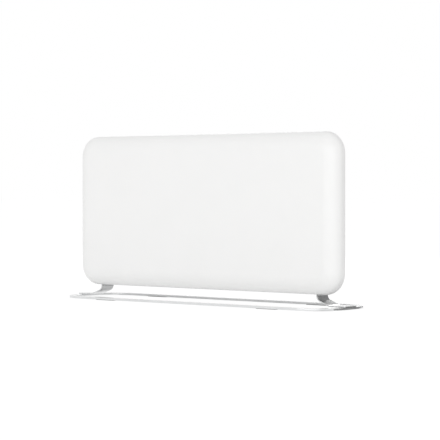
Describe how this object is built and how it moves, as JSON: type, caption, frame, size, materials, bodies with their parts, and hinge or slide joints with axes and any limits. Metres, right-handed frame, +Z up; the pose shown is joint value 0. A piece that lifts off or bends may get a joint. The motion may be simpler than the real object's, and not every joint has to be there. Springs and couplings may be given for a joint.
{
  "type": "free-standing electric panel heater",
  "caption": "Low, wide electric panel heater: a flat white front with soft rounded corners, on two bent steel straps and a flat oval loop base, with controls on the back.",
  "frame": {"origin": "on the floor under the middle of the base, with the pads at z = 0", "axes": "+X along the width towards the end with the controls, +Y from the heated front to the back, +Z up; the heated front faces -Y"},
  "size_m": [0.962, 0.234, 0.461],
  "materials": {
    "white_paint": "satin",
    "polished_steel": "polished",
    "zinc_steel": "satin",
    "bright_aluminium": "bright rolled",
    "mica_sheet": "matte",
    "resistance_alloy": "oxidised",
    "white_ceramic": "matte",
    "fibre_board": "matte",
    "white_plastic": "fine matte",
    "grey_plastic": "fine matte",
    "dark_plastic": "satin",
    "red_lens": "clear gloss",
    "pad_rubber": "matte",
    "brass_parts": "machined",
    "copper_parts": "drawn copper"
  },
  "bodies": {
    "heater": {"front_panel": "white_paint", "rear_cover": "white_paint", "cover_screw_1": "zinc_steel", "cover_screw_2": "zinc_steel", "cover_screw_3": "zinc_steel", "cover_screw_4": "zinc_steel", "reflector_tray": "bright_aluminium", "insulation_board": "fibre_board", "front_mica_left": "mica_sheet", "front_mica_right": "mica_sheet", "heating_ribbon_left": "resistance_alloy", "heating_ribbon_right": "resistance_alloy", "rear_mica_left": "mica_sheet", "rear_mica_right": "mica_sheet", "ceramic_standoff_left_1": "white_ceramic", "ceramic_standoff_left_2": "white_ceramic", "ceramic_standoff_left_3": "white_ceramic", "ceramic_standoff_right_1": "white_ceramic", "ceramic_standoff_right_2": "white_ceramic", "ceramic_standoff_right_3": "white_ceramic", "leg_left": "polished_steel", "leg_right": "polished_steel", "leg_bracket_left": "zinc_steel", "leg_bracket_right": "zinc_steel", "leg_bolt_left_1": "zinc_steel", "leg_bolt_left_2": "zinc_steel", "leg_bolt_right_1": "zinc_steel", "leg_bolt_right_2": "zinc_steel", "bracket_screw_left_1": "zinc_steel", "bracket_screw_left_2": "zinc_steel", "bracket_screw_right_1": "zinc_steel", "bracket_screw_right_2": "zinc_steel", "foot_screw_left_1": "zinc_steel", "foot_screw_left_2": "zinc_steel", "foot_screw_right_1": "zinc_steel", "foot_screw_right_2": "zinc_steel", "base_frame": "polished_steel", "foot_pad_front_left": "pad_rubber", "foot_pad_front_right": "pad_rubber", "foot_pad_rear_left": "pad_rubber", "foot_pad_rear_right": "pad_rubber", "control_bezel": "grey_plastic", "thermostat_body": "dark_plastic", "rocker_switch_body_low": "dark_plastic", "rocker_switch_body_high": "dark_plastic", "pilot_lamp": "red_lens", "cord_inlet": "dark_plastic", "terminal_block": "white_plastic", "thermal_cutout": "dark_plastic", "thermal_fuse": "white_ceramic", "sensor_clip": "white_plastic", "sensor_bulb": "copper_parts", "capillary_tube": "copper_parts", "tip_switch_housing": "white_plastic"},
    "thermostat_dial": {"thermostat_shaft": "brass_parts", "thermostat_knob": "white_plastic"},
    "low_heat_rocker": {"rocker_low": "white_plastic"},
    "high_heat_rocker": {"rocker_high": "white_plastic"},
    "tip_pendulum": {"tip_switch_pendulum": "brass_parts"}
  },
  "joints": [
    {"name": "thermostat_turn", "type": "hinge", "parent": "heater", "child": "thermostat_dial", "pos_m": [0.279, 0.05, 0.334], "axis": [0, -1, 0], "range_deg": [0, 270]},
    {"name": "low_heat_rock", "type": "hinge", "parent": "heater", "child": "low_heat_rocker", "pos_m": [0.337, 0.0432, 0.334], "axis": [1, 0, 0], "range_deg": [0, 24]},
    {"name": "high_heat_rock", "type": "hinge", "parent": "heater", "child": "high_heat_rocker", "pos_m": [0.367, 0.0432, 0.334], "axis": [1, 0, 0], "range_deg": [0, 24]},
    {"name": "tip_swing", "type": "hinge", "parent": "heater", "child": "tip_pendulum", "pos_m": [-0.33, 0.02069, 0.155], "axis": [1, 0, 0], "range_deg": [-25, 25]}
  ]
}
